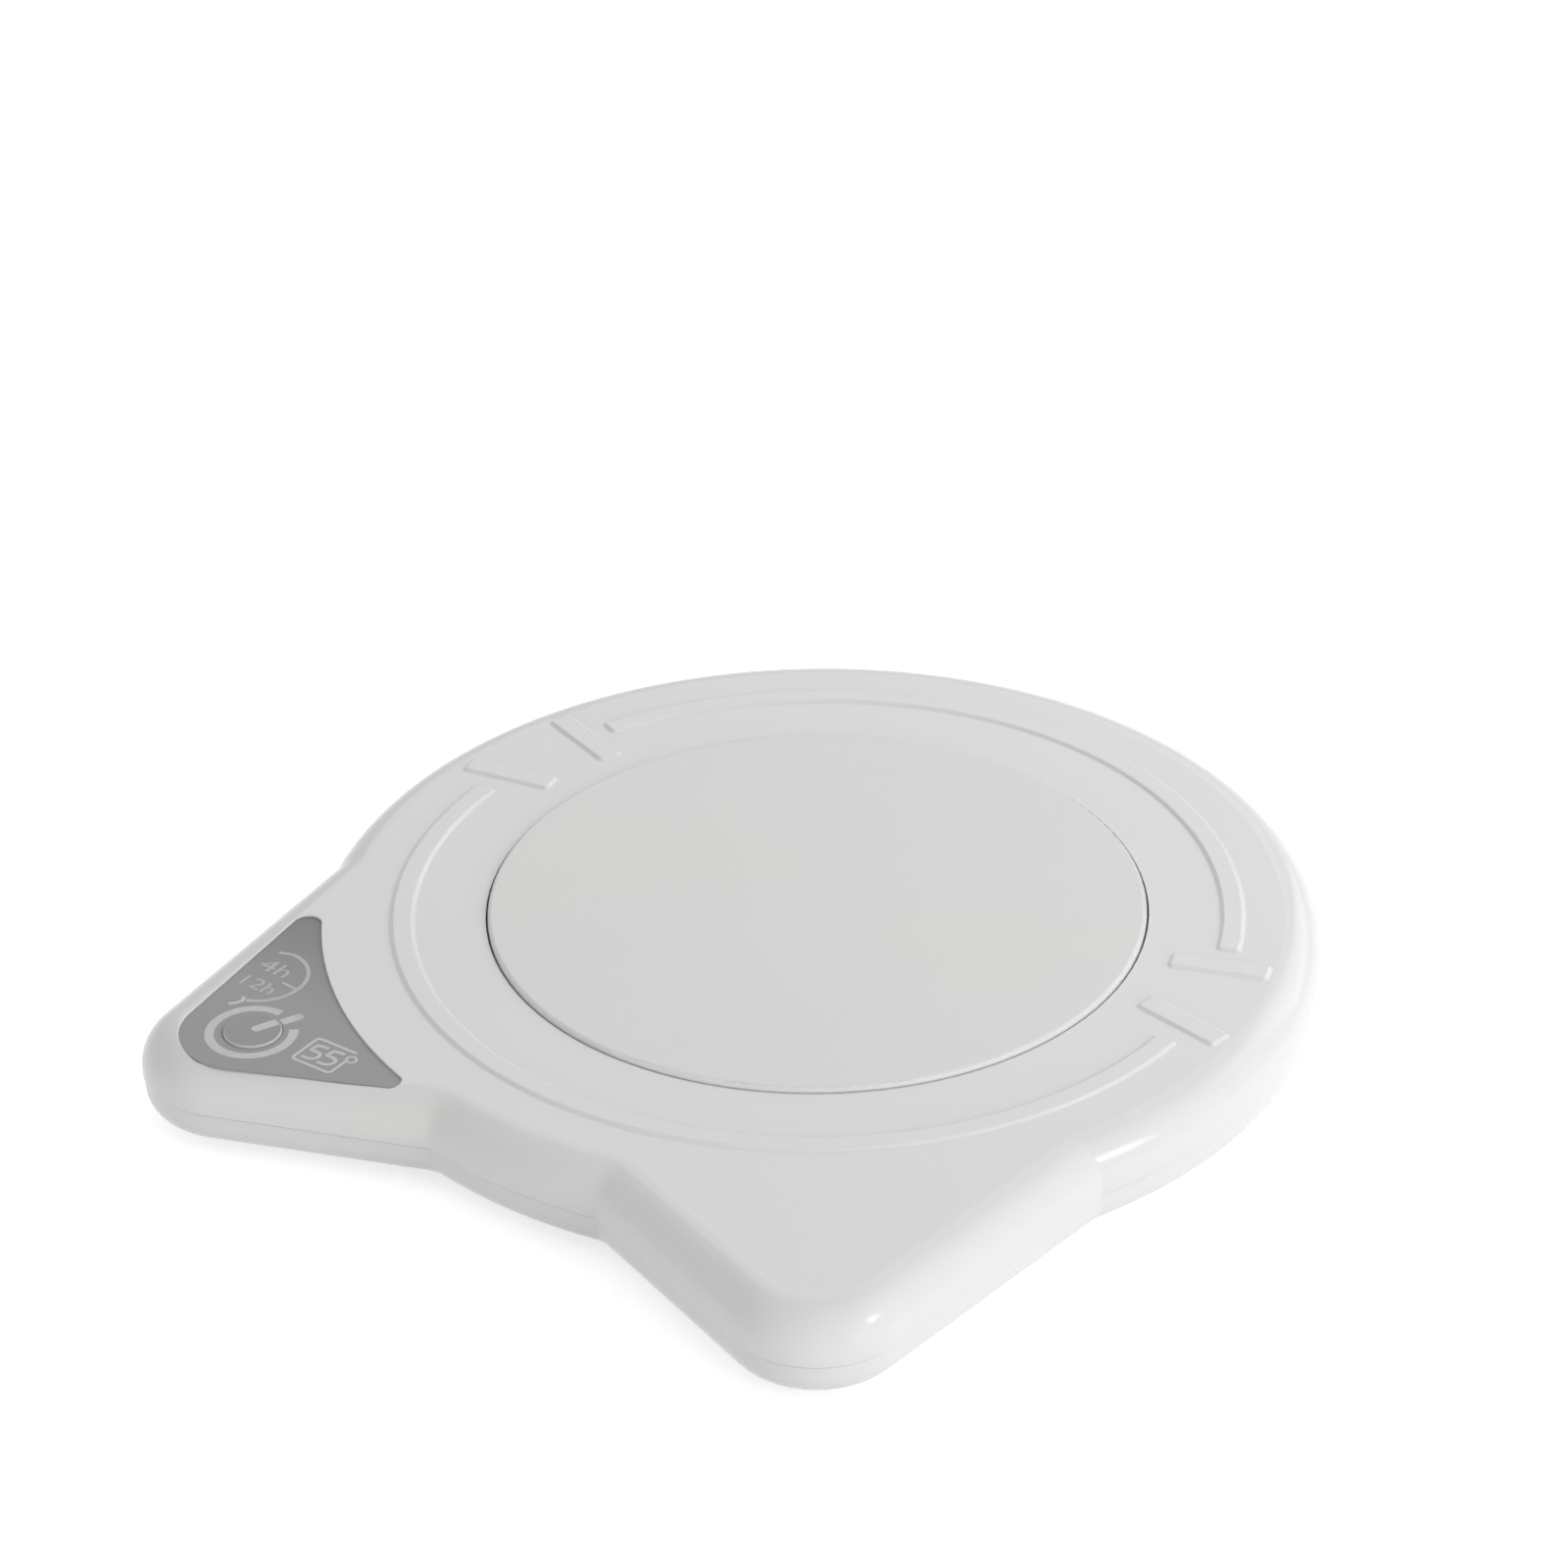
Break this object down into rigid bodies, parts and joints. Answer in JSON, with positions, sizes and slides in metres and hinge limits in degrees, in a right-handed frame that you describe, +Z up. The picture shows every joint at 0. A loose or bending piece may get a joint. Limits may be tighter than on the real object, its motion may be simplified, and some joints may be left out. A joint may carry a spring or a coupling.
{
  "type": "electric mug warmer",
  "caption": "Slim electric mug warmer shaped like a cat's head: a round heated coaster with two ears, one holding a control panel with a push button.",
  "frame": {"origin": "on the surface it stands on, under the middle of the bounding box seen from above", "axes": "+Z up; -Y towards the user, where both ears point; +Y to the back, where the supply inlet is; +X to the user's right, with the plain ear at +X and the control panel in the ear at -X"},
  "size_m": [0.12, 0.1288, 0.0126],
  "materials": {
    "shell_white": "glossy injection-moulded white plastic",
    "base_white": "fine satin moulded white plastic",
    "plate_enamel": "smooth white heat-proof coating on die-cast aluminium",
    "panel_grey": "grey printed overlay film, satin",
    "button_grey": "grey moulded cap, satin",
    "panel_print": "light grey printed symbols",
    "guide_clear": "milky translucent moulded plastic",
    "feet_rubber": "soft pale silicone rubber",
    "seal_rubber": "heat-proof red silicone rubber",
    "screw_steel": "zinc-plated steel",
    "sheet_steel": "rolled steel sheet, bare",
    "inlet_steel": "nickel-plated deep-drawn steel",
    "film_amber": "amber heat-proof film",
    "track_metal": "etched resistance foil",
    "pad_felt": "needled heat-proof fibre felt",
    "board_green": "circuit board with green solder mask",
    "black_plastic": "black moulded component plastic",
    "connector_white": "ivory moulded connector plastic",
    "led_clear": "clear resin over a yellow phosphor",
    "capacitor_can": "drawn aluminium can",
    "contact_gold": "gold-plated contact",
    "lead_red": "red wire insulation",
    "lead_black": "black wire insulation",
    "lead_white": "white heat-proof sleeving",
    "sensor_glass": "dark epoxy bead"
  },
  "bodies": {
    "casing": {"top_shell": "shell_white", "bottom_shell": "base_white", "rubber_feet": "feet_rubber", "casing_screws": "screw_steel", "heating_plate": "plate_enamel", "plate_seal": "seal_rubber", "retaining_ring": "sheet_steel", "retainer_screws": "screw_steel", "heater_film": "film_amber", "heater_track": "track_metal", "insulation_pad": "pad_felt", "clamp_plate": "sheet_steel", "clamp_screws": "screw_steel", "temperature_sensor": "sensor_glass", "sensor_leads": "lead_white", "heater_leads": "lead_white", "thermal_fuse": "capacitor_can", "control_panel": "panel_grey", "switch_body": "black_plastic", "switch_cover": "inlet_steel", "switch_dome": "inlet_steel", "timer_light_guide": "guide_clear", "heat_light_guide": "guide_clear", "control_board": "board_green", "board_screws": "screw_steel", "status_leds": "led_clear", "control_chip": "black_plastic", "power_transistor": "black_plastic", "capacitor": "capacitor_can", "inlet_shell": "inlet_steel", "inlet_tongue": "black_plastic", "inlet_contacts": "contact_gold", "inlet_board": "board_green", "inlet_screws": "screw_steel", "lead_connector": "connector_white", "supply_lead_positive": "lead_red", "supply_lead_negative": "lead_black"},
    "power_button": {"button_cap": "button_grey", "switch_plunger": "black_plastic"}
  },
  "joints": [
    {"name": "power_button_press", "type": "slide", "parent": "casing", "child": "power_button", "axis": [0, 0, -1], "range_m": [0, 0.00035], "stiffness_N_per_m": 2500, "springref_m": -0.0003, "deforming": ["switch_dome"]}
  ]
}
